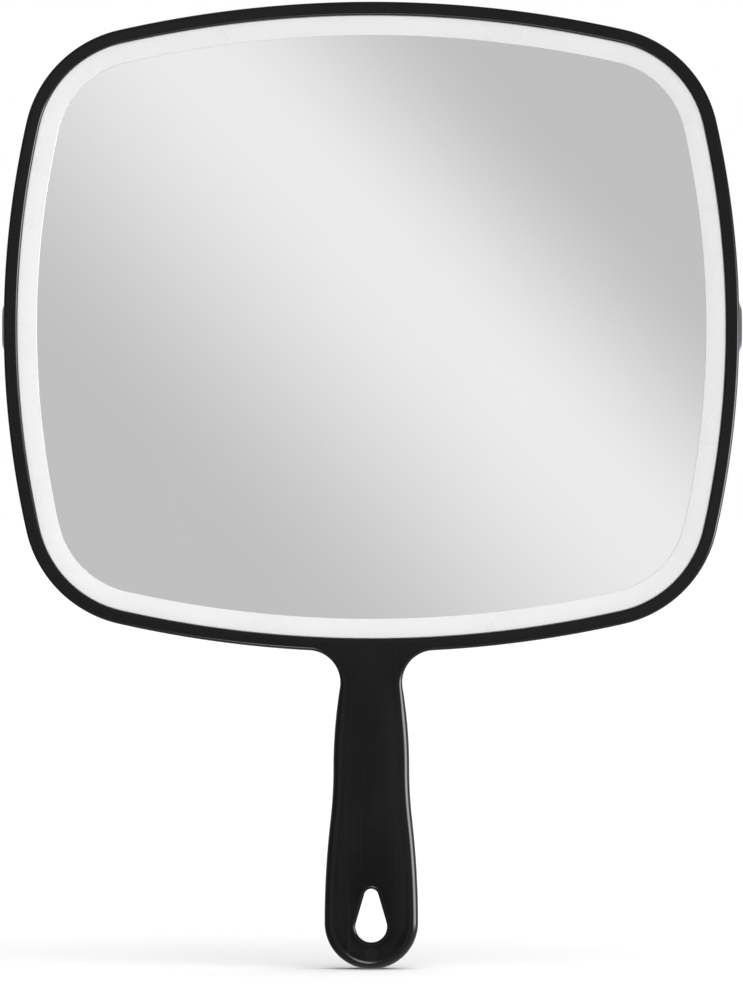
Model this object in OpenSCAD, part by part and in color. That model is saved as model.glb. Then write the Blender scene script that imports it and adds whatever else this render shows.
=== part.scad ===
// Hand mirror with a wide rounded head, a black two-part case, a white trim ring round the glass
// and a flared handle with a teardrop hanging hole.
// It stands upright: +Z runs up from the handle to the head, the glass faces -Y, and the origin is
// the middle of the grip. Lengths are in millimetres.

/* [Head] */
// Width of the head, side to side, without the two small side lugs
head_w = 241; // [210:1:260]
// Height of the head, without the handle
head_h = 213; // [190:1:230]
// Radius of the four corners of the head
corner_r = 40; // [34:0.5:48]
// Thickness of the case, front to back
case_t = 13; // [12.5:0.5:16]

/* [Handle] */
// Length of the handle below the head
handle_len = 104; // [95:1:130]
// Width of the handle at its neck
neck_w = 20.4; // [16:0.2:24]
// Width of the handle where the hand closes round it
grip_w = 25; // [22:0.2:28]
// Width of the flared end, which is also the diameter of its round
flare_w = 30.8; // [28:0.2:34]
// Radius of the two fillets that join the handle to the head
neck_fillet_r = 10.5; // [6:0.5:14]
// Height above the origin at which the grip has its stated width
grip_up = 14; // [8:1:20]
// Radius of the hollow sides below that height
waist_r = 150; // [100:10:250]

/* [Hanging hole] */
// Radius of the wide lower end of the teardrop
hole_low_r = 5.15; // [4:0.05:6]
// Radius of the narrow upper end of the teardrop
hole_top_r = 2.35; // [1.5:0.05:3]
// Distance between the centres of the two ends
hole_rise = 10; // [7:0.5:14]
// Distance from the end of the handle to the centre of the wide end
hole_from_end = 14.1; // [12:0.1:17]
// Thickness of the wall moulded round the hole
hole_wall = 1.8; // [1.2:0.1:2.4]

/* [Case walls] */
// Thickness of the outer walls
wall_t = 2.2; // [1.8:0.1:2.6]
// Width of the front lip that frames the mirror
lip_w = 4.4; // [4:0.1:5]
// Thickness of the front lip
lip_t = 1.6; // [1.2:0.1:2]
// Thickness of the back panel
panel_t = 2.5; // [2:0.1:3]
// Distance from the middle of the case to the joint of the two halves, towards the back
joint_back = 1; // [0:0.5:2]
// How far the side lugs of the rear cover stand out
lug_out = 1.1; // [0.6:0.1:1.4]
// Length of each side lug along the edge
lug_len = 19; // [12:1:24]
// Length of the slope at each end of a side lug
lug_slope = 4; // [2:0.5:5]

/* [Mirror stack] */
// Width of the white ring that shows between the lip and the glass
ring_w = 6.5; // [5:0.5:9]
// Height of the ring's outer edge above its flange
ring_rise = 0.7; // [0.4:0.1:1]
// Thickness of the ring's flange under the lip
flange_t = 1; // [0.8:0.1:1.4]
// Thickness of the adhesive tape between ring and glass
tape_t = 0.2; // [0.1:0.05:0.4]
// Thickness of the glass
glass_t = 2; // [1.8:0.1:2.4]
// Thickness of the safety film on the back of the glass
film_t = 0.2; // [0.1:0.05:0.4]
// Thickness of the foam strips behind the glass
foam_t = 3.5; // [3:0.1:3.8]

/* [Hidden] */
$fn = 180;

black = "#17161a";
white = "#eeeeec";

// Depth of each layer along Y, from the lip's front face to the back of the case
front_y = -case_t / 2;
back_y = case_t / 2;
lip_back_y = front_y + lip_t;
ring_back_y = lip_back_y + flange_t;
glass_front_y = ring_back_y + tape_t;
glass_back_y = glass_front_y + glass_t;
film_back_y = glass_back_y + film_t;
foam_back_y = film_back_y + foam_t;
panel_front_y = back_y - panel_t;
joint_y = joint_back;

// Insets from the head's outline, and the play that lets one piece drop into another
fit_gap = 0.2;
rim_t = 1;
rim_inset = wall_t + fit_gap;
glass_inset = rim_inset + rim_t + 0.3;
flange_inset = wall_t + 0.3;
ring_inset = lip_w + 0.1;
window_inset = lip_w + ring_w;
tape_w = 4;
tape_inset = window_inset - 1.2 - tape_w;
film_inset = glass_inset + 1;

// The head's outline is four long arcs joined by four corner arcs. Each corner arc starts and ends on
// a line that runs 40 along and 9 across, which puts every centre and joint on a round number, because
// 9, 40 and 41 are the sides of a right triangle.
across = 9;
along = 40;
slant = 41;
side_k = (head_h / 2 - (head_w - head_h) / 16 - corner_r) / 10;
end_k = side_k + (head_w - head_h) / 16;
corner_x = across * end_k;
corner_z = across * side_k;
end_arc_r = corner_r + slant * end_k;
side_arc_r = corner_r + slant * side_k;
end_arc_z = end_arc_r - head_h / 2;
side_arc_x = side_arc_r - head_w / 2;

// Heights along Z
handle_top_z = handle_len / 2;
handle_end_z = -handle_len / 2;
head_z = handle_top_z + head_h / 2;
flare_z = handle_end_z + flare_w / 2;
hole_z = handle_end_z + hole_from_end;

// The neck fillets touch the lower long arc of the head
fillet_x = neck_w / 2 + neck_fillet_r;
fillet_z = head_z + end_arc_z - sqrt(pow(end_arc_r + neck_fillet_r, 2) - pow(fillet_x, 2));

// Posts in the handle: pegs on the front half press into sockets in the rear half
post_z = [32, 4];
post_r = 3;
peg_r = 1.4;
peg_len = 2.2;
// Round gate mark left by the moulding, under the hanging hole
gate_r = 2;
gate_depth = 0.3;
gate_up = 5.4;
// Ribs on the back panel, which carry the foam strips
rib_t = 1.2;
rib_pitch = 36;
// Foam strips
foam_w = 20;
foam_len = 130;
foam_out_x = 72;
foam_out_z = 66;

// Half the handle's width at height z. Three arcs follow each other without a corner: a long round
// above the flared end, the hollow waist, and a shoulder that runs up into the neck fillet.
flare_out = (flare_w - grip_w) / 2;
flare_down = grip_up - flare_z;
side_arcs_r = (pow(flare_down, 2) + pow(flare_out, 2)) / (2 * flare_out);
flare_arc_r = side_arcs_r - waist_r;
waist_end_z = grip_up - flare_down * waist_r / side_arcs_r;
neck_out = fillet_x - grip_w / 2;
shoulder_r = (pow(neck_out, 2) + pow(fillet_z - grip_up, 2) - pow(neck_fillet_r, 2))
    / (2 * (neck_fillet_r - neck_out));
shoulder_end_z = grip_up + (fillet_z - grip_up) * shoulder_r / (shoulder_r + neck_fillet_r);

function sagitta(r, run) = r - sqrt(r * r - run * run);
function half_w(z) =
    z < waist_end_z ? flare_w / 2 - sagitta(flare_arc_r, z - flare_z)
    : z < grip_up ? grip_w / 2 + sagitta(waist_r, grip_up - z)
    : grip_w / 2 - sagitta(shoulder_r, z - grip_up);

// Puts a shape drawn in X and Z between two depths along Y
module slab(from_y, to_y) {
    translate([0, to_y, 0])
        rotate([90, 0, 0])
            linear_extrude(height = to_y - from_y)
                children();
}

// Repeats a shape in all four quadrants round the head's centre
module quadrants() {
    for (mx = [0, 1], mz = [0, 1])
        mirror([mx, 0]) mirror([0, mz]) children();
}

// The slice of plane that belongs to one corner arc
module corner_wedge() {
    translate([corner_x, corner_z])
        polygon([[0, 0], 5 * [along, across], 5 * [across, along]]);
}

// The head's outline, moved inwards by inset all the way round
module head_outline(inset = 0) {
    translate([0, head_z]) difference() {
        intersection() {
            translate([0, -end_arc_z]) circle(r = end_arc_r - inset);
            translate([0, end_arc_z]) circle(r = end_arc_r - inset);
            translate([-side_arc_x, 0]) circle(r = side_arc_r - inset);
            translate([side_arc_x, 0]) circle(r = side_arc_r - inset);
        }
        quadrants() difference() {
            corner_wedge();
            translate([corner_x, corner_z]) circle(r = corner_r - inset);
        }
    }
}

// The handle's sides and round end, moved inwards by inset, up to the height top_z
module handle_outline(inset, top_z) {
    steps = 48;
    z = [for (i = [0:steps]) flare_z + (top_z - flare_z) * i / steps];
    right = [for (v = z) [half_w(v) - inset, v]];
    left = [for (i = [steps:-1:0]) [-right[i][0], right[i][1]]];
    polygon(concat(right, left));
    translate([0, flare_z]) circle(r = flare_w / 2 - inset);
}

// The neck between the two fillets, which runs a little way into the head
module neck_outline() {
    // It stops just short of both ends of each fillet, where the round touches its neighbour
    short = 0.3;
    low_z = shoulder_end_z + short;
    reach = neck_fillet_r + lip_w / 2;
    lean = atan2(fillet_x + short, head_z + end_arc_z - fillet_z);
    top = [fillet_x - short - reach * sin(lean), fillet_z + reach * cos(lean)];
    difference() {
        polygon([[-fillet_x, low_z], [fillet_x, low_z], top, [-top[0], top[1]]]);
        for (side = [-1, 1])
            translate([side * fillet_x, fillet_z]) circle(r = neck_fillet_r);
    }
}

// The whole silhouette of the case
module case_outline() {
    head_outline();
    neck_outline();
    handle_outline(0, fillet_z);
}

// The teardrop of the hanging hole, grown by grow
module teardrop(grow = 0) {
    low_r = hole_low_r + grow;
    top_r = hole_top_r + grow;
    lean = asin((low_r - top_r) / hole_rise);
    side = [cos(lean), sin(lean)];
    low = low_r * side;
    top = top_r * side + [0, hole_rise];
    translate([0, hole_z]) {
        circle(r = low_r);
        translate([0, hole_rise]) circle(r = top_r);
        polygon([low, top, [-top[0], top[1]], [-low[0], low[1]]]);
    }
}

// The hollow inside the handle, round the wall of the hanging hole
module handle_cavity() {
    difference() {
        handle_outline(wall_t, fillet_z);
        teardrop(hole_wall);
    }
}

// A round post, peg or socket along Y at height z
module post(z, r, from_y, to_y) {
    translate([0, to_y, z])
        rotate([90, 0, 0])
            cylinder(r = r, h = to_y - from_y);
}

// Front half of the case: the lip round the mirror, the outer wall and the front of the handle
module front_frame() {
    color(black) {
        difference() {
            slab(front_y, joint_y) case_outline();
            slab(front_y - 1, lip_back_y + 1) head_outline(lip_w);
            slab(lip_back_y, joint_y + 1) head_outline(wall_t);
            slab(front_y + wall_t, joint_y + 1) handle_cavity();
            slab(front_y - 1, joint_y + 1) teardrop();
            post(handle_end_z + gate_up, gate_r, front_y - 1, front_y + gate_depth);
        }
        for (z = post_z) {
            post(z, post_r, front_y + wall_t - 0.5, joint_y);
            post(z, peg_r, front_y + wall_t, joint_y + peg_len);
        }
    }
}

// Ribs that stiffen the back panel and carry the foam
module ribs() {
    intersection() {
        head_outline(rim_inset + rim_t / 2);
        translate([0, head_z]) union() {
            for (i = [-3:3])
                translate([i * rib_pitch - rib_t / 2, -head_h]) square([rib_t, 2 * head_h]);
            for (i = [-2:2])
                translate([-head_w, i * rib_pitch - rib_t / 2]) square([2 * head_w, rib_t]);
        }
    }
}

// One low lug on the right-hand edge: straight along its top, with a slope at each end that dips just
// below the head's curved side
module side_lug() {
    foot = lug_len / 2;
    top = foot - lug_slope;
    dip = sagitta(side_arc_r, foot) + 0.1;
    translate([head_w / 2, head_z]) polygon([
        [-wall_t / 2, -foot],
        [-dip, -foot],
        [lug_out, -top],
        [lug_out, top],
        [-dip, foot],
        [-wall_t / 2, foot]
    ]);
}

// Rear half of the case: the back panel with its ribs and locating rim, and the back of the handle
module rear_cover() {
    color(black) {
        difference() {
            slab(joint_y, back_y) case_outline();
            slab(joint_y - 1, panel_front_y) head_outline(wall_t);
            slab(joint_y - 1, panel_front_y) handle_cavity();
            slab(joint_y - 1, back_y + 1) teardrop();
        }
        slab(glass_front_y + glass_t / 2, panel_front_y + 0.5) difference() {
            head_outline(rim_inset);
            head_outline(rim_inset + rim_t);
        }
        slab(foam_back_y, panel_front_y + 0.5) ribs();
        for (z = post_z)
            difference() {
                post(z, post_r, joint_y, panel_front_y + 0.5);
                post(z, peg_r + 0.05, joint_y - 1, joint_y + peg_len + 0.3);
            }
        for (mx = [0, 1])
            mirror([mx, 0, 0]) slab(joint_y + 0.5, back_y - 0.5) side_lug();
    }
}

// One stretch of a ring: the profile turned round an arc's centre and cut to the arc's own slice.
// The profile is drawn with its inset from the outline along X and its depth along Y.
module arc_stretch(centre, arc_r, slice) {
    translate([centre[0], 0, centre[1]]) intersection() {
        rotate([-90, 0, 0])
            rotate_extrude()
                translate([arc_r, 0]) mirror([1, 0]) children();
        slab(-case_t, case_t) polygon(concat([[0, 0]], slice));
    }
}

// A profile swept all the way round the head's outline
module head_ring() {
    translate([0, 0, head_z]) {
        for (mz = [0, 1])
            mirror([0, 0, mz])
                arc_stretch([0, -end_arc_z], end_arc_r, 12 * [[across, along], [-across, along]])
                    children();
        for (mx = [0, 1])
            mirror([mx, 0, 0])
                arc_stretch([-side_arc_x, 0], side_arc_r, 10 * [[along, -across], [along, across]])
                    children();
        for (mx = [0, 1], mz = [0, 1])
            mirror([mx, 0, 0]) mirror([0, 0, mz])
                arc_stretch([corner_x, corner_z], corner_r, 5 * [[along, across], [across, along]])
                    children();
    }
}

// White trim ring: a flange under the lip and a face that slopes down to the glass
module trim_ring() {
    inner_t = 0.6;
    color(white) head_ring() polygon([
        [flange_inset, lip_back_y],
        [ring_inset, lip_back_y],
        [ring_inset, lip_back_y - ring_rise],
        [window_inset, ring_back_y - inner_t],
        [window_inset, ring_back_y],
        [flange_inset, ring_back_y]
    ]);
}

// Float glass, silvered on its back
module mirror_glass() {
    color("silver") slab(glass_front_y, glass_back_y) head_outline(glass_inset);
}

// Die-cut adhesive tape that holds the ring on the glass
module ring_tape() {
    color("ivory") slab(ring_back_y, glass_front_y) difference() {
        head_outline(tape_inset);
        head_outline(tape_inset + tape_w);
    }
}

// Safety film that keeps the glass together if it breaks
module backing_film() {
    color("lightsteelblue") slab(glass_back_y, film_back_y) head_outline(film_inset);
}

// One foam strip with its centre at x and z from the head's centre
module foam_strip(x, z, w, h) {
    color("dimgray") slab(film_back_y, foam_back_y)
        translate([x - w / 2, head_z + z - h / 2]) square([w, h]);
}

module foam_strip_top() {
    foam_strip(0, foam_out_z, foam_len, foam_w);
}

module foam_strip_bottom() {
    foam_strip(0, -foam_out_z, foam_len, foam_w);
}

module foam_strip_left() {
    foam_strip(-foam_out_x - foam_w, 0, foam_w, foam_len);
}

module foam_strip_right() {
    foam_strip(foam_out_x + foam_w, 0, foam_w, foam_len);
}

front_frame();
rear_cover();
trim_ring();
mirror_glass();
ring_tape();
backing_film();
foam_strip_top();
foam_strip_bottom();
foam_strip_left();
foam_strip_right();
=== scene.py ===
import math

import bmesh
import bpy
import numpy as np
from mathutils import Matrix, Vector
from mathutils.geometry import delaunay_2d_cdt


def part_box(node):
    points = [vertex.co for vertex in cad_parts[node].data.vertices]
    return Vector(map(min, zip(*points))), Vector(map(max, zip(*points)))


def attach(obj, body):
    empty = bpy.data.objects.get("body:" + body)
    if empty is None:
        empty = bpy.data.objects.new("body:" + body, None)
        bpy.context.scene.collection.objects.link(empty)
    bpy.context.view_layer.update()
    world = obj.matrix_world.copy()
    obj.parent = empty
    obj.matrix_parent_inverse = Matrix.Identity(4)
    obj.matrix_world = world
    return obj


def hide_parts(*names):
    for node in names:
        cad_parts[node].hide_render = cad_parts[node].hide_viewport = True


# The looks of a hand mirror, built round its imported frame. Lengths are in millimetres, in the row's
# frame: +Z runs up from the handle to the head, the glass faces -Y, and the origin is in the grip.
MM = 0.001
X, Y, Z = range(3)

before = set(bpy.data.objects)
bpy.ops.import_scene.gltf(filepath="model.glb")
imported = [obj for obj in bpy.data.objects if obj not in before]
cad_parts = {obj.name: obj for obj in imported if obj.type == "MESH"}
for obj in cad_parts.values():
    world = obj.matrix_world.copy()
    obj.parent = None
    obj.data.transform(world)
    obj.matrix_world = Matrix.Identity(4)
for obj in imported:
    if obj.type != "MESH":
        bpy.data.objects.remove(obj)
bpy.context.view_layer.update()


# ---------------------------------------------------------------- sizes read from the frame

def span(node, axis):
    """Lowest and highest coordinate of a CAD node along one axis."""
    low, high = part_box(node)
    return round(low[axis] / MM, 2), round(high[axis] / MM, 2)


handle_end_z, head_top_z = span("front_frame", Z)
case_right = span("front_frame", X)[1]
front_y = span("front_frame", Y)[0]
rim_front_y, back_y = span("rear_cover", Y)
lug_out = span("rear_cover", X)[1] - case_right
ring_low_z, ring_high_z = span("trim_ring", Z)
ring_front_y, ring_back_y = span("trim_ring", Y)
glass_front_y, glass_back_y = span("mirror_glass", Y)
foam_back_y = span("foam_strip_top", Y)[1]

flange_inset = head_top_z - ring_high_z
glass_inset = case_right - span("mirror_glass", X)[1]
head_low_z = ring_low_z - flange_inset
head_w = 2 * case_right
head_h = head_top_z - head_low_z
head_z = (head_top_z + head_low_z) / 2

# ---------------------------------------------------------------- sizes repeated from the part

corner_r = 40
neck_w = 20.4
grip_w = 25
flare_w = 30.8
neck_fillet_r = 10.5
grip_up = 14
waist_r = 150
hole_low_r = 5.15
hole_top_r = 2.35
hole_rise = 10
hole_from_end = 14.1
hole_wall = 1.8
wall_t = 2.2
lip_w = 4.4
lip_t = 1.6
panel_t = 2.5
joint_y = 1
lug_len = 19
lug_slope = 4
ring_w = 6.5
ring_play = 0.1
flange_t = 1
rim_inset = 2.4
rim_t = 1
post_z = [32, 4]
post_r = 3
peg_r = 1.4
peg_len = 2.2
socket_play = 0.05
socket_spare = 0.3
gate_r = 2
gate_depth = 0.3
gate_up = 5.4
rib_t = 1.2
rib_pitch = 36
ribs_beside = 3
ribs_above = 2

# ---------------------------------------------------------------- sizes of the moulded detail

# Rounded edges, and the crown across the handle's face
head_edge_r = 1.2
handle_edge_r = 2.9
back_edge_r = 1.5
lip_edge_r = 0.9
hole_edge_r = 1.1
crown_depth = 0.45

# The gate mark's sloped wall, the groove along the joint, and the gap between the ribs and the rim
gate_slope = 0.7
joint_groove = 0.25
rib_gap = 0.3

# A side lug starts this far behind the joint, and leans outwards over this depth
lug_foot = 0.5
lug_lean = 3.2

# The white ring's face, and the edges of the glass and the foam
ring_chamfer = 0.15
ring_edge_r = 0.45
ring_inner_t = 0.6
ring_swell = 0.2
glass_seam = 0.3
foam_swell = 0.4

# How finely the meshes are divided. Rows of vertices at the support distance keep an edge crisp.
support = 0.25
point_step = 2
turn_step = math.radians(4)
edge_steps = 8
fine_edge_steps = 6
same_place = 1e-5

# Places that follow from the sizes
lip_back_y = front_y + lip_t
panel_front_y = back_y - panel_t
flare_z = handle_end_z + flare_w / 2
hole_z = handle_end_z + hole_from_end
gate_z = handle_end_z + gate_up
window_inset = lip_w + ring_w

# The head's outline is four long arcs and four corner arcs. They meet where a line runs 40 along and
# 9 across, and 9, 40 and 41 are the sides of a right triangle.
across, along, slant = 9, 40, 41
side_k = (head_h / 2 - (head_w - head_h) / 16 - corner_r) / 10
end_k = side_k + (head_w - head_h) / 16
corner_x = across * end_k
corner_z = across * side_k
end_arc_r = corner_r + slant * end_k
side_arc_r = corner_r + slant * side_k
end_arc_z = end_arc_r - head_h / 2
side_arc_x = side_arc_r - head_w / 2
shallow = math.atan2(across, along)
steep = math.pi / 2 - shallow

# The handle's sides are arcs that follow each other without a corner
fillet_x = neck_w / 2 + neck_fillet_r
fillet_z = head_z + end_arc_z - math.sqrt((end_arc_r + neck_fillet_r) ** 2 - fillet_x ** 2)
flare_down = grip_up - flare_z
flare_out = (flare_w - grip_w) / 2
side_arcs_r = (flare_down ** 2 + flare_out ** 2) / (2 * flare_out)
flare_arc_r = side_arcs_r - waist_r
waist_end_z = grip_up - flare_down * waist_r / side_arcs_r
neck_out = fillet_x - grip_w / 2
shoulder_r = ((neck_out ** 2 + (fillet_z - grip_up) ** 2 - neck_fillet_r ** 2)
              / (2 * (neck_fillet_r - neck_out)))


def sagitta(r, run):
    """How far an arc of radius r falls away from its tangent at a distance from where they touch."""
    return r - math.sqrt(r * r - run * run)


def half_w(z):
    """Half the handle's width at height z."""
    if z < waist_end_z:
        return flare_w / 2 - sagitta(flare_arc_r, z - flare_z)
    if z < grip_up:
        return grip_w / 2 + sagitta(waist_r, grip_up - z)
    return grip_w / 2 - sagitta(shoulder_r, z - grip_up)


def eased(t):
    """0 up to t = 0, 1 from t = 1, and a smooth change between them."""
    t = min(1, max(0, t))
    return t * t * (3 - 2 * t)


def on_handle(z):
    """0 on the head, 1 on the handle, and a smooth change down the neck."""
    return eased((head_low_z - z) / (head_low_z - (grip_up + fillet_z) / 2))


def crown(x, z):
    """How far the handle's face falls back at a point, because it is a little rounded across."""
    if z < flare_z:
        out = math.hypot(x, z - flare_z) / (flare_w / 2)
    else:
        out = abs(x) / half_w(min(z, fillet_z))
    return crown_depth * on_handle(z) * min(1, out) ** 2


def face_y(x, z):
    """The y of the front face at a point of the head or the handle."""
    return front_y + crown(x, z)


def lug(z):
    """How far the low lug on each side stands out at height z."""
    return lug_out * eased((lug_len / 2 - abs(z - head_z)) / lug_slope)


# ---------------------------------------------------------------- outlines

def arc(centre, r, start, end, hollow=False):
    """Points along an arc, each as x, z and the outward normal's x and z. The end point is left to the
    next arc."""
    turn = abs(end - start)
    count = max(2, math.ceil(turn * r / point_step), math.ceil(turn / turn_step))
    outward = -1 if hollow else 1
    made = []
    for i in range(count):
        a = start + (end - start) * i / count
        c, s = math.cos(a), math.sin(a)
        made.append((centre[0] + r * c, centre[1] + r * s, outward * c, outward * s))
    return made


def closed(right_half):
    """The whole outline, from its right half between two points on the centre line."""
    left_half = [(-x, z, -nx, nz) for x, z, nx, nz in right_half[-2:0:-1]]
    return right_half + left_half


def head_side(bottom_angle):
    """The right-hand side of the head, from its top centre down to an angle on the bottom arc."""
    return (arc((0, head_z - end_arc_z), end_arc_r, math.pi / 2, steep)
            + arc((corner_x, head_z + corner_z), corner_r, steep, shallow)
            + arc((-side_arc_x, head_z), side_arc_r, shallow, -shallow)
            + arc((corner_x, head_z - corner_z), corner_r, -shallow, -steep)
            + arc((0, head_z + end_arc_z), end_arc_r, -steep, bottom_angle))


def head_outline():
    """The head by itself, closed across the neck."""
    return closed(head_side(-math.pi / 2) + [(0, head_low_z, 0, -1)])


def flared_end():
    """The hollow waist, the long round of the flare and the round end, down to the bottom centre."""
    waist_turn = math.asin((grip_up - waist_end_z) / waist_r)
    flare_turn = math.asin((waist_end_z - flare_z) / flare_arc_r)
    return (arc((grip_w / 2 + waist_r, grip_up), waist_r, math.pi, math.pi + waist_turn, hollow=True)
            + arc((flare_w / 2 - flare_arc_r, flare_z), flare_arc_r, flare_turn, 0)
            + arc((0, flare_z), flare_w / 2, 0, -math.pi / 2)
            + [(0, handle_end_z, 0, -1)])


def shoulder(top_z):
    """The side of the handle above the grip, from height top_z down."""
    top_turn = math.asin((top_z - grip_up) / shoulder_r)
    return arc((grip_w / 2 - shoulder_r, grip_up), shoulder_r, top_turn, 0)


def case_outline():
    """The whole silhouette: the head, the two neck fillets and the handle."""
    touch = math.atan2(fillet_z - head_z - end_arc_z, fillet_x)
    leave = math.atan2(grip_up - fillet_z, grip_w / 2 - shoulder_r - fillet_x) + 2 * math.pi
    shoulder_top_z = fillet_z + neck_fillet_r * math.sin(leave)
    return closed(head_side(touch)
                  + arc((fillet_x, fillet_z), neck_fillet_r, touch + math.pi, leave, hollow=True)
                  + shoulder(shoulder_top_z)
                  + flared_end())


def cavity_outline():
    """The handle's sides and round end up to the neck, closed straight across the top."""
    top_z = head_low_z - neck_fillet_r
    return closed([(0, top_z + wall_t, 0, 1)] + shoulder(top_z) + flared_end())


def teardrop_outline():
    """The hanging hole, with normals that point out of the hole."""
    lean = math.asin((hole_low_r - hole_top_r) / hole_rise)
    return closed(arc((0, hole_z + hole_rise), hole_top_r, math.pi / 2, lean)
                  + arc((0, hole_z), hole_low_r, lean, -math.pi / 2)
                  + [(0, hole_z - hole_low_r, 0, -1)])


def round_outline(z, r, count=32):
    """A circle on the centre line, with outward normals."""
    turns = [2 * math.pi * i / count for i in range(count)]
    return [(r * math.cos(a), z + r * math.sin(a), math.cos(a), math.sin(a)) for a in turns]


# ---------------------------------------------------------------- meshes

def point(x, y, z):
    """A place in the scene's own unit, the metre."""
    return Vector((x, y, z)) * MM


def sweep(bm, outline, profile):
    """Sweeps a profile round an outline and returns its first and last rings of vertices.
    The profile is a list of (inset, y), or a function that gives one for a point of the outline and its
    outward normal."""
    columns = []
    for x, z, nx, nz in outline:
        steps = profile(x, z, nx, nz) if callable(profile) else profile
        columns.append([bm.verts.new(point(x - inset * nx, y, z - inset * nz)) for inset, y in steps])
    for i, column in enumerate(columns):
        after = columns[(i + 1) % len(columns)]
        for k in range(len(column) - 1):
            bm.faces.new((column[k], after[k], after[k + 1], column[k + 1]))
    return [c[0] for c in columns], [c[-1] for c in columns]


def within(rings, places):
    """For each place, whether it lies inside the first ring and outside the others, by the parity of
    the edges that a ray from it crosses."""
    x, z = np.array(places).T[:, :, None]
    crossings = np.zeros(len(places), int)
    for ring in rings:
        ax, az = np.array(ring).T
        bx, bz = np.roll(ax, -1), np.roll(az, -1)
        straddles = (az > z) != (bz > z)
        rise = np.where(bz == az, 1, bz - az)
        crossings += (straddles & (x < ax + (z - az) * (bx - ax) / rise)).sum(1)
    return crossings % 2 == 1


def middles(places, faces):
    """The middle of each face, which is a list of indices into the places."""
    return [[sum(places[v][i] for v in face) / len(face) for i in (0, 1)] for face in faces]


def triangulated(places, rings, kind):
    """Triangulates places that start with the points of some closed rings, and keeps the rings' edges.
    Returns the places, which are more where rings cross, the triangles, and for each new place the
    indices of the old ones that it came from."""
    edges = []
    first = 0
    for ring in rings:
        count = len(ring)
        edges += [(first + i, first + (i + 1) % count) for i in range(count)]
        first += count
    found = delaunay_2d_cdt([Vector(p) for p in places], edges, [], kind, same_place)
    return found[0], found[2], found[3]


def triangles(rings, inner_points=()):
    """Triangulates the region between rings of (x, z), with extra points inside it. The first ring is
    the outer one. Returns the triangles as indices into the rings' points and then the extra ones."""
    places = [p for ring in rings for p in ring] + list(inner_points)
    whole_hull = 0
    _, faces, origins = triangulated(places, rings, whole_hull)
    assert all(origins), "the rings of a fill cross each other"
    faces = [[origins[v][0] for v in face] for face in faces]
    return [face for face, kept in zip(faces, within(rings, middles(places, faces))) if kept]


def flat_places(ring):
    """The x and z of a ring of vertices."""
    return [(v.co.x / MM, v.co.z / MM) for v in ring]


def fill(bm, rings, inner_points=(), depth=None):
    """Closes the region between rings of vertices. Extra points inside it are given as (x, z), and
    depth gives their y."""
    verts = [v for ring in rings for v in ring]
    verts += [bm.verts.new(point(x, depth(x, z), z)) for x, z in inner_points]
    found = triangles([flat_places(ring) for ring in rings], inner_points)
    return [bm.faces.new([verts[i] for i in face]) for face in found]


def rounded(y, r, steps=edge_steps, facing=1):
    """Profile of a rounded outer edge, from the wall to the face at y. facing is 1 for a front face,
    which lies at a lower y than the wall, and -1 for the back."""
    turns = [math.pi / 2 * i / steps for i in range(steps + 1)]
    return [(r * (1 - math.cos(a)), y + facing * r * (1 - math.sin(a))) for a in turns]


def rounded_inward(inset, y, r):
    """Profile of a rounded inner edge of a front face, from the face to the wall at that inset."""
    return [(inset - run, height) for run, height in reversed(rounded(y, r, fine_edge_steps))]


def outward(profile):
    """A profile laid out the other way, for a hole, whose normals point away from it."""
    return [(-inset, y) for inset, y in profile]


def finish_piece(name, bm, sharp_deg=35):
    """Turns a bmesh into a smooth-shaded object whose hard corners stay hard."""
    bmesh.ops.recalc_face_normals(bm, faces=bm.faces)
    mesh = bpy.data.meshes.new(name)
    bm.to_mesh(mesh)
    bm.free()
    mesh.shade_smooth()
    mesh.set_sharp_from_angle(angle=math.radians(sharp_deg))
    piece = bpy.data.objects.new(name, mesh)
    bpy.context.scene.collection.objects.link(piece)
    return piece


def stand_for(piece, node, slot, *materials):
    """Gives a piece its materials and puts it in the place of its CAD node."""
    for made in materials:
        piece.data.materials.append(made)
    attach(piece, "root")
    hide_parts(node)
    return piece


def clear_of_hole(x, z, gap):
    """True where a point is at least gap away from the hanging hole's outline."""
    rise = min(1, max(0, (z - hole_z) / hole_rise))
    r = hole_low_r + (hole_top_r - hole_low_r) * rise
    return math.hypot(x, z - hole_z - rise * hole_rise) > r + gap


def face_points():
    """A staggered grid over the handle's face, so that its crown is smooth."""
    pitch = 1.6
    clear = 2 * support + pitch / 2
    margin = handle_edge_r + clear
    rows = int((head_low_z + lip_w - handle_end_z) / pitch)
    columns_beside = math.ceil(flare_w / 2 / pitch)
    found = []
    for row in range(rows):
        z = handle_end_z + row * pitch
        shift = pitch / 2 * (row % 2)
        for column in range(-columns_beside, columns_beside + 1):
            x = column * pitch + shift
            if z < flare_z:
                inside = math.hypot(x, z - flare_z) < flare_w / 2 - margin
            else:
                inside = z < fillet_z and abs(x) < half_w(z) - margin
            off_gate = math.hypot(x, z - gate_z) > gate_r + clear
            if inside and off_gate and clear_of_hole(x, z, hole_edge_r + clear):
                found.append((x, z))
    return found


# Each half's wall starts at the joint, with half of the fine groove that runs along it
front_groove = [(joint_groove, joint_y), (0, joint_y - joint_groove)]
rear_groove = [(joint_groove, joint_y), (0, joint_y + joint_groove)]


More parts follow.
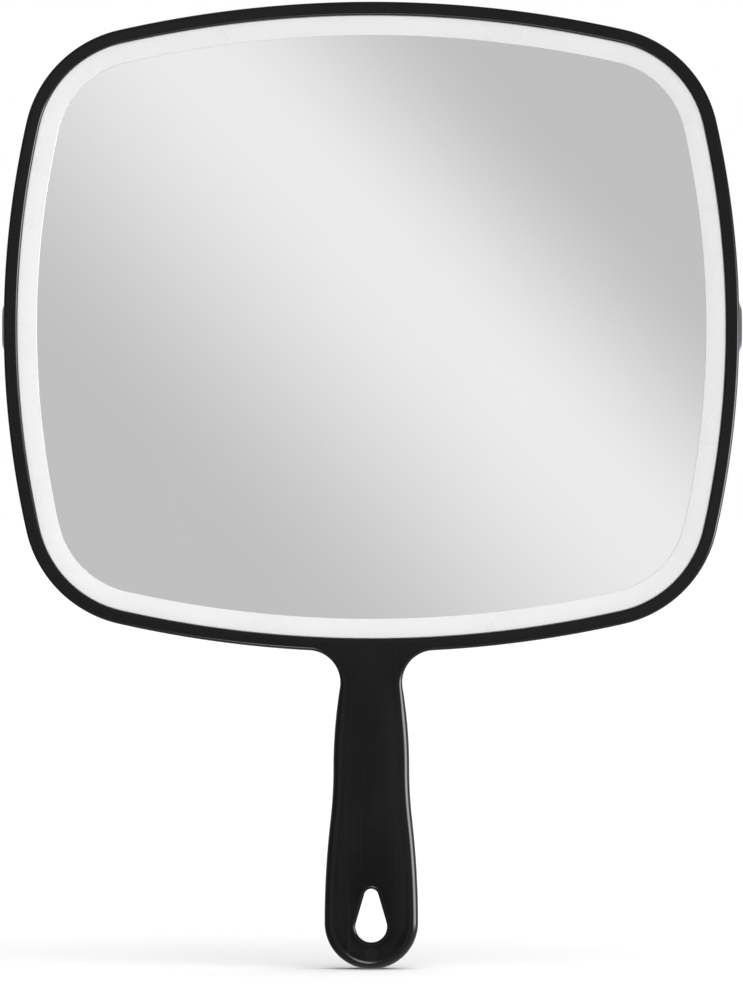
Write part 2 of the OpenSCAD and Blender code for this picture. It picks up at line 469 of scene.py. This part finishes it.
def hollow_handle(bm, floor_y, post_top):
    """The hollow of one half of the handle, with the wall round the hanging hole and the two posts.
    post_top is the profile of a peg or a socket at the joint. Returns the joint's inner ring of
    vertices, and its ring round the hole."""
    cavity_floor, cavity_joint = sweep(bm, cavity_outline(), [(wall_t, floor_y), (wall_t, joint_y)])
    boss = outward([(hole_wall, floor_y), (hole_wall, joint_y)])
    boss_floor, boss_joint = sweep(bm, teardrop_outline(), boss)
    floors = [cavity_floor, boss_floor]
    for z in post_z:
        profile = [(0, floor_y), (0, joint_y)] + post_top
        post_floor, post_middle = sweep(bm, round_outline(z, post_r), profile)
        floors.append(post_floor)
        fill(bm, [post_middle])
    fill(bm, floors)
    return cavity_joint, boss_joint


def build_front_frame():
    """The lip round the mirror, the outer wall and the front half of the handle."""
    bm = bmesh.new()

    def outer(x, z, nx, nz):
        r = head_edge_r + (handle_edge_r - head_edge_r) * on_handle(z)
        face = face_y(x - r * nx, z - r * nz)
        return front_groove + rounded(face, r) + [(r + support, face)]

    def hole(x, z, nx, nz):
        face = face_y(x + hole_edge_r * nx, z + hole_edge_r * nz)
        edge = rounded(face, hole_edge_r, fine_edge_steps)
        return outward(front_groove + edge + [(hole_edge_r + support / 2, face)])

    def gate(x, z, *normal):
        face = face_y(x, z)
        floor = face + gate_depth
        return [(-support / 2, face), (0, face), (gate_slope, floor), (gate_slope + support, floor)]

    window = [(lip_w - lip_edge_r - support, front_y)]
    window += rounded_inward(lip_w, front_y, lip_edge_r)
    window += [(lip_w, lip_back_y), (wall_t, lip_back_y), (wall_t, joint_y)]

    outer_joint, outer_face = sweep(bm, case_outline(), outer)
    window_face, window_joint = sweep(bm, head_outline(), window)
    hole_joint, hole_face = sweep(bm, teardrop_outline(), hole)
    gate_face, gate_floor = sweep(bm, round_outline(gate_z, gate_r), gate)
    fill(bm, [outer_face, window_face, hole_face, gate_face], face_points(), face_y)
    fill(bm, [gate_floor])

    step = post_r - peg_r
    peg = [(step, joint_y), (step, joint_y + peg_len - support), (step + support, joint_y + peg_len)]
    cavity_joint, boss_joint = hollow_handle(bm, front_y + wall_t, peg)
    fill(bm, [outer_joint, window_joint, cavity_joint])
    fill(bm, [boss_joint, hole_joint])
    return finish_piece("front_frame_shell", bm, 18)


def build_rear_cover():
    """The back panel with its ribs and locating rim, the rear half of the handle and the side lugs."""
    bm = bmesh.new()
    lug_heel_y = back_y - back_edge_r - 0.1

    def outer(x, z, *normal):
        # The lug leans out from its foot to a crisp crest, and drops back steeply behind it
        out = lug(z) if abs(x) > head_w / 2 - wall_t else 0
        rises = (0, 0.06, 0.5, 0.94, 1)
        lean = [(-out * rise, joint_y + lug_foot + lug_lean * rise) for rise in rises]
        edge = rounded(back_y, back_edge_r, facing=-1)
        return rear_groove + lean + [(0, lug_heel_y)] + edge + [(back_edge_r + support, back_y)]

    hole_edge = rounded(back_y, hole_edge_r, fine_edge_steps, facing=-1)
    hole = outward(rear_groove + hole_edge + [(hole_edge_r + support, back_y)])
    outer_joint, outer_face = sweep(bm, case_outline(), outer)
    hole_joint, hole_face = sweep(bm, teardrop_outline(), hole)
    fill(bm, [outer_face, hole_face])

    # The tray of the head, with the locating rim round it
    rim_end = rim_inset + rim_t
    tray = [(wall_t, joint_y), (wall_t, panel_front_y), (rim_inset, panel_front_y),
            (rim_inset, rim_front_y), (rim_end, rim_front_y), (rim_end, panel_front_y)]
    tray_joint, tray_floor = sweep(bm, head_outline(), tray)
    ribbed_floor(bm, tray_floor, rim_end + rib_gap)

    step = post_r - peg_r - socket_play
    socket = [(step, joint_y), (step, joint_y + peg_len + socket_spare)]
    cavity_joint, boss_joint = hollow_handle(bm, panel_front_y, socket)
    fill(bm, [outer_joint, tray_joint, cavity_joint])
    fill(bm, [boss_joint, hole_joint])
    return finish_piece("rear_cover_shell", bm)


def inset_head(inset):
    """The head's outline moved inwards, as x and z from the middle of the head."""
    return [(x - inset * nx, z - inset * nz - head_z) for x, z, nx, nz in head_outline()]


def reach(inset, at, axis):
    """How far the head's inset outline reaches along one axis, 0 for x and 1 for z, at a place on the
    other."""
    places = inset_head(inset)
    best = 0
    for p, q in zip(places, places[1:] + places[:1]):
        start, end = p[1 - axis], q[1 - axis]
        if start != end and min(start, end) <= at <= max(start, end):
            share = (at - start) / (end - start)
            best = max(best, p[axis] + share * (q[axis] - p[axis]))
    return best


def rib_outlines(inset):
    """The ribs on the back panel as rectangles that end on the head's inset outline."""
    made = []
    for i in range(-ribs_beside, ribs_beside + 1):
        left, right = i * rib_pitch - rib_t / 2, i * rib_pitch + rib_t / 2
        ends = [reach(inset, x, 1) for x in (left, right)]
        made.append([(left, -ends[0]), (right, -ends[1]), (right, ends[1]), (left, ends[0])])
    for i in range(-ribs_above, ribs_above + 1):
        low, high = i * rib_pitch - rib_t / 2, i * rib_pitch + rib_t / 2
        ends = [reach(inset, z, 0) for z in (low, high)]
        made.append([(-ends[0], low), (ends[0], low), (ends[1], high), (-ends[1], high)])
    return [[(x, z + head_z) for x, z in rib] for rib in made]


def in_rib_band(at, ribs_each_side):
    """Whether each distance from the middle of the head lies in the width of a rib."""
    nearest = np.clip(np.round(at / rib_pitch), -ribs_each_side, ribs_each_side)
    return abs(at - rib_pitch * nearest) < rib_t / 2


def ribbed_floor(bm, ring, inset):
    """Closes the tray's floor inside a ring of vertices, and raises the ribs from it to the foam."""
    rings = [flat_places(ring)] + rib_outlines(inset)
    inside = 1
    places, faces, origins = triangulated([p for outline in rings for p in outline], rings, inside)
    spots = np.array(middles(places, faces)) - (0, head_z)
    in_band = in_rib_band(spots[:, 0], ribs_beside) | in_rib_band(spots[:, 1], ribs_above)
    on_rib = in_band & within([inset_head(inset)], spots)
    low, high, sides = {}, {}, {}
    for face, raised in zip(faces, on_rib):
        level, y = (high, foam_back_y) if raised else (low, panel_front_y)
        for v in face:
            if v in level:
                continue
            if not raised and origins[v] and origins[v][0] < len(ring):
                level[v] = ring[origins[v][0]]
            else:
                level[v] = bm.verts.new(point(places[v][0], y, places[v][1]))
        bm.faces.new([level[v] for v in face])
        for v, w in zip(face, face[1:] + face[:1]):
            sides.setdefault(frozenset((v, w)), set()).add(bool(raised))
    # A wall stands wherever a raised face borders on a low one
    for side, levels in sides.items():
        if len(levels) == 2:
            v, w = side
            bm.faces.new((low[v], low[w], high[w], high[v]))


def build_trim_ring():
    """The white ring: a flange under the lip, a sloped face with a soft inner edge, and a square back."""
    bm = bmesh.new()
    flange_y = ring_back_y - flange_t
    outer_inset = lip_w + ring_play
    slope = (ring_back_y - ring_inner_t - ring_front_y) / (window_inset - outer_inset)
    start = outer_inset + ring_chamfer
    stop = window_inset - ring_edge_r
    profile = [(flange_inset, ring_back_y), (flange_inset, flange_y), (outer_inset, flange_y),
               (outer_inset, ring_front_y + ring_chamfer), (start, ring_front_y + ring_chamfer * slope)]
    face_steps = 8
    for i in range(1, face_steps + 1):
        share = i / face_steps
        inset = start + (stop - start) * share
        bulge = ring_swell * 4 * share * (1 - share)
        profile.append((inset, ring_front_y + slope * (inset - outer_inset) - bulge))
    edge_y = profile.pop()[1]
    profile += rounded_inward(window_inset, edge_y, ring_edge_r)
    profile += [(window_inset, ring_back_y), (flange_inset, ring_back_y)]
    sweep(bm, head_outline(), profile)
    # The profile ends where it starts, and there its two rings of vertices become one
    bmesh.ops.remove_doubles(bm, verts=bm.verts, dist=1e-7)
    return finish_piece("trim_ring_moulding", bm)


def build_mirror_glass():
    """Float glass with ground edges. The front face, the edge and the painted back are told apart by
    material index 0, 1 and 2."""
    bm = bmesh.new()
    profile = [(glass_inset + glass_seam, glass_front_y), (glass_inset, glass_front_y + glass_seam),
               (glass_inset, glass_back_y - glass_seam), (glass_inset + glass_seam, glass_back_y)]
    front, back = sweep(bm, head_outline(), profile)
    for face in bm.faces:
        face.material_index = 1
    for face in fill(bm, [front]):
        face.material_index = 0
    for face in fill(bm, [back]):
        face.material_index = 2
    return finish_piece("mirror_glass_pane", bm, 20)


def build_foam_strip(node):
    """One strip of foam, pressed flat front and back, with soft edges and sides that swell a little."""
    low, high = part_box(node)
    centre = (low + high) / 2
    size = (high - low) / MM
    core = Vector((size.x - 2 * foam_swell, size.y, size.z - 2 * foam_swell))
    long_axis, short_axis = (X, Z) if size.x > size.z else (Z, X)
    bm = bmesh.new()
    bmesh.ops.create_cube(bm, size=1)
    bmesh.ops.scale(bm, vec=core, verts=bm.verts)
    for axis, cuts in ((long_axis, 12), (short_axis, 4), (Y, 4)):
        whole = [e for e in bm.edges if abs((e.verts[0].co - e.verts[1].co)[axis]) > core[axis] / 2]
        bmesh.ops.subdivide_edges(bm, edges=whole, cuts=cuts, use_grid_fill=True)
    for v in bm.verts:
        swell = foam_swell * (1 - (v.co.y / (size.y / 2)) ** 4)
        for axis in (X, Z):
            if abs(abs(v.co[axis]) - core[axis] / 2) < 1e-3:
                v.co[axis] += math.copysign(swell, v.co[axis])
        v.co = centre + v.co * MM
    return finish_piece(node + "_pad", bm, 60)


# ---------------------------------------------------------------- materials

# Most values of a noise pattern lie between these two
noise_low = 0.3
noise_high = 0.7


class Graph:
    """The nodes of a material or of the world, with short ways to add the kinds used here."""

    def __init__(self, owner):
        owner.use_nodes = True
        self.nodes = owner.node_tree.nodes
        self.links = owner.node_tree.links

    def feed(self, socket, value):
        """Links a socket to another node's output, or sets it to a plain value."""
        if isinstance(value, bpy.types.NodeSocket):
            self.links.new(value, socket)
        else:
            socket.default_value = value

    def add(self, kind, **inputs):
        """A new node with its inputs. A space in an input's name is written as an underscore."""
        node = self.nodes.new("ShaderNode" + kind)
        for name, value in inputs.items():
            self.feed(node.inputs[name.replace("_", " ")], value)
        return node

    def here(self):
        """Coordinates in the piece's own space, which for a piece of the mirror is the row's frame."""
        return self.add("TexCoord").outputs["Object"]

    def place(self, stretch=(1, 1, 1), turn=(0, 0, 0)):
        """The same coordinates, stretched and turned."""
        return self.add("Mapping", Vector=self.here(), Scale=stretch, Rotation=turn).outputs["Vector"]

    def split(self, vector):
        """The outputs X, Y and Z of a vector."""
        return self.add("SeparateXYZ", Vector=vector).outputs

    def noise(self, vector, per_metre, detail=2.0, roughness=0.5):
        """A cloudy pattern from 0 to 1."""
        node = self.add("TexNoise", Vector=vector, Scale=per_metre, Detail=detail, Roughness=roughness)
        return node.outputs["Fac"]

    def spread(self, value, low, high, from_low=noise_low, from_high=noise_high):
        """Maps a pattern to a range of numbers."""
        node = self.add("MapRange", Value=value, From_Min=from_low, From_Max=from_high,
                        To_Min=low, To_Max=high)
        return node.outputs["Result"]

    def combine(self, operation, a, b=0):
        """One step of arithmetic. An operation on one value ignores b."""
        node = self.add("Math")
        node.operation = operation
        self.feed(node.inputs[0], a)
        self.feed(node.inputs[1], b)
        return node.outputs["Value"]

    def mix(self, share, a, b):
        """a where share is 0, b where it is 1."""
        return self.add("Mix", Factor=share, A=a, B=b).outputs["Result"]

    def tint(self, shader, value, dark, light):
        """Colours the shader between two tones by a pattern."""
        node = self.add("ValToRGB", Fac=value)
        ends = node.color_ramp.elements
        ends[0].position = noise_low
        ends[1].position = noise_high
        ends[0].color = (*dark, 1)
        ends[1].color = (*light, 1)
        self.links.new(node.outputs["Color"], shader.inputs["Base Color"])

    def greys(self, value, end_tone, stops, easing="LINEAR"):
        """Maps 0 to 1 to greys: one tone at both ends, and stops between them as (value, tone)."""
        node = self.add("ValToRGB", Fac=value)
        node.color_ramp.interpolation = easing
        for end in node.color_ramp.elements:
            end.color = (end_tone, end_tone, end_tone, 1)
        for at, tone in stops:
            node.color_ramp.elements.new(at).color = (tone, tone, tone, 1)
        return node.outputs["Color"]

    def bump(self, shader, height, depth_mm, before=None):
        """Gives the shader a bump of that depth, on top of an earlier one."""
        node = self.add("Bump", Height=height, Strength=1, Distance=depth_mm * MM)
        if before is not None:
            self.links.new(before, node.inputs["Normal"])
        self.links.new(node.outputs["Normal"], shader.inputs["Normal"])
        return node.outputs["Normal"]

    def scratches(self, turn, per_metre=900):
        """Fine straight hairlines: 1 in a hairline, 0 between them."""
        lines = self.noise(self.place((1, 1, 0.02), turn), per_metre, 1.0)
        sparse = (0.68, 0.74)
        return self.spread(lines, 0, 1, *sparse)


def material(name, **values):
    """A Principled material with plain socket values, with its graph and its shader."""
    made = bpy.data.materials.new(name)
    graph = Graph(made)
    shader = graph.nodes["Principled BSDF"]
    for socket, value in values.items():
        shader.inputs[socket.replace("_", " ")].default_value = value
    return made, graph, shader


def gloss_black():
    """Polished black moulding: a faint waviness from the mould, handling marks and hairline scratches."""
    made, graph, shader = material("gloss_black_plastic", Specular_IOR_Level=0.25, IOR=1.5)
    here = graph.place()
    blotches = graph.noise(here, 45, 6, 0.6)
    graph.tint(shader, blotches, (0.0032, 0.0029, 0.0034), (0.0052, 0.0046, 0.0052))
    hairlines = graph.combine("MAXIMUM", graph.scratches((0.3, 0.5, 0.2)), graph.scratches((1.1, -0.4, 0.9)))
    worn = graph.spread(blotches, 0.09, 0.19)
    rough = graph.combine("ADD", worn, graph.combine("MULTIPLY", hairlines, 0.14))
    graph.feed(shader.inputs["Roughness"], rough)
    wave = graph.bump(shader, graph.noise(here, 110, 1), 0.012)
    graph.bump(shader, hairlines, -0.0015, wave)
    return made


def satin_black():
    """The rear moulding: glossy sides, and a fine spark-eroded grain on the flat of the back."""
    made, graph, shader = material("satin_black_plastic", Specular_IOR_Level=0.45, IOR=1.5)
    here = graph.place()
    blotches = graph.noise(here, 30, 6, 0.6)
    graph.tint(shader, blotches, (0.0045, 0.0042, 0.0048), (0.0075, 0.007, 0.0078))
    grain_start_y, grain_full_y = back_y - 0.12, back_y - 0.02
    flat = graph.spread(graph.split(here)["Y"], 0, 1, grain_start_y * MM, grain_full_y * MM)
    polished = graph.spread(blotches, 0.12, 0.22)
    grained = graph.spread(blotches, 0.4, 0.52)
    graph.feed(shader.inputs["Roughness"], graph.mix(flat, polished, grained))
    grain = graph.noise(here, 2600, 3, 0.7)
    wave = graph.bump(shader, graph.noise(here, 110, 1), 0.012)
    graph.bump(shader, graph.combine("MULTIPLY", grain, flat), 0.03, wave)
    return made


def satin_white():
    """The trim ring: white moulding with a soft shine, faintly uneven and a little duller in places."""
    made, graph, shader = material("satin_white_plastic", Specular_IOR_Level=0.4, IOR=1.5)
    here = graph.place()
    clouds = graph.noise(here, 35, 5, 0.55)
    graph.tint(shader, clouds, (0.765, 0.765, 0.765), (0.79, 0.79, 0.785))
    graph.feed(shader.inputs["Roughness"], graph.spread(clouds, 0.22, 0.36))
    wave = graph.bump(shader, graph.noise(here, 160, 2), 0.01)
    graph.bump(shader, graph.noise(here, 3500, 2), 0.0012, wave)
    return made


def silvered():
    """The mirror face: silver behind clear glass, with a breath of wiping haze."""
    made, graph, shader = material("silvered_glass", Metallic=1.0)
    haze = graph.noise(graph.place(), 14, 7, 0.65)
    graph.tint(shader, haze, (0.957, 0.96, 0.96), (0.966, 0.969, 0.969))
    streaks = graph.noise(graph.place((1, 1, 0.12), (0, 0.5, 0)), 60, 4)
    hazy = graph.combine("MULTIPLY", haze, streaks)
    graph.feed(shader.inputs["Roughness"], graph.spread(hazy, 0.0, 0.035, 0.2, 0.45))
    return made


def glass_edge():
    """The ground edge of the pane: greenish, dull and finely frosted."""
    made, graph, shader = material("ground_glass_edge")
    frost = graph.noise(graph.place(), 900, 4)
    graph.tint(shader, frost, (0.16, 0.24, 0.21), (0.30, 0.40, 0.36))
    graph.feed(shader.inputs["Roughness"], graph.spread(frost, 0.35, 0.6))
    graph.bump(shader, frost, 0.02)
    return made


def mirror_paint():
    """The protective paint on the silver: grey, with a soft orange peel."""
    made, graph, shader = material("mirror_back_paint")
    here = graph.place()
    clouds = graph.noise(here, 25, 5)
    graph.tint(shader, clouds, (0.20, 0.22, 0.23), (0.27, 0.29, 0.30))
    graph.feed(shader.inputs["Roughness"], graph.spread(clouds, 0.4, 0.55))
    graph.bump(shader, graph.noise(here, 400, 2), 0.01)
    return made


def tissue_tape():
    """Adhesive tape: ivory tissue with short crossed fibres, slightly tacky."""
    made, graph, shader = material("tissue_tape")
    upright = graph.noise(graph.place((1, 1, 0.1)), 1400, 2)
    crossing = graph.noise(graph.place((0.1, 1, 1)), 1400, 2)
    fibres = graph.combine("MAXIMUM", upright, crossing)
    graph.tint(shader, fibres, (0.62, 0.57, 0.44), (0.80, 0.76, 0.64))
    graph.feed(shader.inputs["Roughness"], graph.spread(fibres, 0.3, 0.5))
    graph.bump(shader, fibres, 0.02)
    return made


def woven_film():
    """Safety film: grey-blue woven tape under clear plastic, in a plain weave of 2 mm strips."""
    made, graph, shader = material("woven_film")
    one_wave_in_2_mm = 157
    weave = []
    for direction in "XZ":
        wave = graph.add("TexWave", Vector=graph.place(), Scale=one_wave_in_2_mm, Distortion=0.4)
        wave.bands_direction = direction
        weave.append(wave.outputs["Fac"])
    strips = graph.combine("MULTIPLY", *weave)
    graph.tint(shader, strips, (0.20, 0.26, 0.33), (0.38, 0.45, 0.53))
    graph.feed(shader.inputs["Roughness"], graph.spread(strips, 0.5, 0.32, 0, 1))
    graph.bump(shader, strips, 0.05)
    return made


def cell_foam():
    """Closed-cell foam: dark grey, matt, with small open-cut cells."""
    made, graph, shader = material("cell_foam", Specular_IOR_Level=0.2)
    depth = graph.add("TexVoronoi", Vector=graph.place(), Scale=1500).outputs["Distance"]
    graph.tint(shader, depth, (0.028, 0.028, 0.03), (0.07, 0.07, 0.072))
    graph.feed(shader.inputs["Roughness"], graph.spread(depth, 0.75, 0.95, 0, 1))
    graph.bump(shader, depth, 0.15)
    return made


def dress(node, made):
    """Gives a carried-over CAD node its material, without touching its mesh."""
    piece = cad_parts[node]
    if not piece.material_slots:
        piece.data.materials.append(made)
    for slot in piece.material_slots:
        slot.link = "OBJECT"
        slot.material = made


# ---------------------------------------------------------------- camera and light

view_height = 328.1
view_centre_z = 101.8
view_distance = 2800
azimuth = math.radians(1)


def build_camera():
    """A long lens, level and a little to the right of the mirror's axis."""
    data = bpy.data.cameras.new("camera")
    data.sensor_width = 36
    data.lens = data.sensor_width * view_distance / view_height
    data.clip_start = 0.1
    data.clip_end = 200
    camera = bpy.data.objects.new("camera", data)
    back = Vector((math.sin(azimuth), -math.cos(azimuth), 0))
    camera.location = point(0, 0, view_centre_z) + back * view_distance * MM
    camera.rotation_mode = "QUATERNION"
    camera.rotation_quaternion = (-back).to_track_quat("-Z", "Y")
    bpy.context.scene.collection.objects.link(camera)
    bpy.context.scene.camera = camera
    return camera


def staged_quad(name, made, corners):
    """One flat quad that belongs to the stage."""
    mesh = bpy.data.meshes.new(name)
    mesh.from_pydata(corners, [], [(0, 1, 2, 3)])
    mesh.materials.append(made)
    staged = bpy.data.objects.new(name, mesh)
    bpy.context.scene.collection.objects.link(staged)
    return staged


def build_floor():
    """A plain pale floor at the end of the handle, as good as endless. Reflections don't see it."""
    made, _, _ = material("pale_floor", Base_Color=(0.97, 0.97, 0.97, 1), Roughness=0.9,
                          Specular_IOR_Level=0.0)
    half = 60
    z = handle_end_z * MM
    corners = [(-half, -half, z), (half, -half, z), (half, half, z), (-half, half, z)]
    floor = staged_quad("floor", made, corners)
    floor.visible_glossy = False


def blank_material(name):
    """A material without nodes, and its graph."""
    made = bpy.data.materials.new(name)
    graph = Graph(made)
    graph.nodes.clear()
    return made, graph


def only_in_reflections(piece):
    """Hides a staged piece from every ray but a reflected one."""
    for ray in ("camera", "diffuse", "shadow", "transmission"):
        setattr(piece, "visible_" + ray, False)


def build_card(camera):
    """A big grey card behind the camera with a soft diagonal band of light, which the mirror reflects.
    Its pattern is given in millimetres as it is seen on the mirror, from the middle of the head. The
    card's own size and place are in metres."""
    card_y = -3.0
    half = 3.8
    band_angle = math.radians(43.5)
    band_pitch = 330
    dim, bright = 0.543, 0.862
    band = ((-86, dim), (21, bright), (89, dim))
    # For the handle the card gets darker from the neck down, and light again below the handle's end
    handle_tone = 0.2
    neck, end = head_low_z - head_z, handle_end_z - head_z
    dark_until, light_from = end - 40, end - 100
    dark_half_w, light_half_w = 0.15, 0.3

    # The pattern is so much larger on the card than it is seen on the mirror
    gain = 1 + card_y / camera.location.y
    made, graph = blank_material("light_card")
    here = graph.split(graph.here())
    from_band = graph.combine("ADD", graph.combine("MULTIPLY", here["X"], math.cos(band_angle)),
                              graph.combine("MULTIPLY", here["Z"], math.sin(band_angle)))
    share = graph.combine("MULTIPLY", from_band, 1 / (band_pitch * MM * gain))
    share = graph.combine("FRACT", graph.combine("ADD", share, 0.5))
    light = graph.greys(share, dim, [(0.5 + at / band_pitch, tone) for at, tone in band], "EASE")
    rise = graph.spread(here["Z"], 0, 1, light_from * MM * gain, neck * MM * gain)
    stops = [((z - light_from) / (neck - light_from), handle_tone) for z in (dark_until, end)]
    shade = graph.greys(rise, 1, stops)
    beside = graph.spread(graph.combine("ABSOLUTE", here["X"]), 0, 1, dark_half_w, light_half_w)
    glow = graph.add("Emission", Color=light, Strength=graph.combine("MAXIMUM", shade, beside))
    graph.add("OutputMaterial", Surface=glow.outputs["Emission"])

    corners = [(-half, 0, -half), (half, 0, -half), (half, 0, half), (-half, 0, half)]
    card = staged_quad("light_card", made, corners)
    head_up = head_z * MM
    card.location = (-camera.location.x * (gain - 1), card_y,
                     head_up + (head_up - camera.location.z) * (gain - 1))
    only_in_reflections(card)


def build_panel(name, centre, facing, size, strength):
    """A glowing panel with soft edges, in metres. Only reflections see it."""
    made, graph = blank_material(name)
    here = graph.split(graph.here())
    level = strength
    # Full in the middle, and nothing at the edges
    for axis, length in zip("XY", size):
        off = graph.combine("ABSOLUTE", here[axis])
        fade = graph.spread(off, 1, 0, 0.2 * length, 0.5 * length)
        level = graph.combine("MULTIPLY", graph.combine("POWER", fade, 2), level)
    glow = graph.add("Emission", Strength=level)
    clear = graph.add("BsdfTransparent")
    both = graph.add("AddShader")
    graph.feed(both.inputs[0], glow.outputs["Emission"])
    graph.feed(both.inputs[1], clear.outputs["BSDF"])
    graph.add("OutputMaterial", Surface=both.outputs["Shader"])

    x, y = size[0] / 2, size[1] / 2
    panel = staged_quad(name, made, [(-x, -y, 0), (x, -y, 0), (x, y, 0), (-x, y, 0)])
    panel.location = centre
    panel.rotation_mode = "QUATERNION"
    panel.rotation_quaternion = (Vector(facing) - Vector(centre)).to_track_quat("Z", "Y")
    only_in_reflections(panel)


def sky(graph, direction, levels, nearness):
    """A level that goes from the first to the second as a ray turns towards a direction. nearness gives
    the cosines of the angles at which that change starts and ends."""
    lean = graph.add("VectorMath")
    lean.operation = "DOT_PRODUCT"
    graph.feed(lean.inputs[0], graph.add("TexCoord").outputs["Generated"])
    graph.feed(lean.inputs[1], Vector(direction).normalized())
    return graph.spread(lean.outputs["Value"], *levels, *nearness)


def build_world():
    """A pale studio. Seen directly it is plain white. It lights softly from all round, most of all from
    overhead. Reflections see a dimmer room that is lighter low on the right, and high up behind."""
    world = bpy.data.worlds.new("studio")
    bpy.context.scene.world = world
    graph = Graph(world)
    graph.nodes.clear()
    low_right = sky(graph, (0.5, 0, -0.85), levels=(0.25, 1.05), nearness=(0.1, 0.8))
    behind = sky(graph, (0, 0.8, 0.6), levels=(0, 0.45), nearness=(0.3, 0.95))
    overhead = sky(graph, (0.45, 0.1, 0.88), levels=(0.4, 0.74), nearness=(-0.5, 0.9))
    rays = graph.add("LightPath").outputs
    reflected = graph.combine("ADD", low_right, behind)
    indirect = graph.mix(rays["Is Glossy Ray"], overhead, reflected)
    strength = graph.mix(rays["Is Camera Ray"], indirect, 1)
    studio = graph.add("Background", Color=(1, 1, 1, 1), Strength=strength)
    graph.add("OutputWorld", Surface=studio.outputs["Background"])


def build_lights():
    """A broad key light from the upper right in front, as even as a sun, with very soft shadows. The
    black edges get their lines of light from a wide panel on the right and a small one low in front,
    and the back from a long one behind it."""
    data = bpy.data.lights.new("key", "SUN")
    data.energy = 1.9
    data.angle = math.radians(90)
    key = bpy.data.objects.new("key", data)
    key.rotation_mode = "QUATERNION"
    key.rotation_quaternion = Vector((0.55, -0.45, 1.0)).to_track_quat("Z", "Y")
    key.visible_glossy = False
    bpy.context.scene.collection.objects.link(key)
    build_panel("side_panel", centre=(0.75, -0.22, 0.03), facing=(0, -0.22, 0.03), size=(0.8, 0.6),
                strength=15)
    build_panel("low_panel", centre=(-0.06, -0.44, -0.29), facing=(0, 0, -0.045), size=(0.2, 0.28),
                strength=11)
    build_panel("back_panel", centre=(0, 0.6, 0), facing=(0, 0, 0), size=(1.3, 0.5), strength=1.2)


# ---------------------------------------------------------------- the object

foam = cell_foam()
stand_for(build_front_frame(), "front_frame", "black_gloss_plastic", gloss_black())
stand_for(build_rear_cover(), "rear_cover", "black_satin_plastic", satin_black())
stand_for(build_trim_ring(), "trim_ring", "white_plastic", satin_white())
stand_for(build_mirror_glass(), "mirror_glass", "mirror", silvered(), glass_edge(), mirror_paint())
for side in ("top", "bottom", "left", "right"):
    strip = stand_for(build_foam_strip("foam_strip_" + side), "foam_strip_" + side, "foam", foam)
dress("ring_tape", tissue_tape())
dress("backing_film", woven_film())

build_floor()
build_card(build_camera())
build_world()
build_lights()
bpy.context.scene.view_settings.view_transform = "Standard"
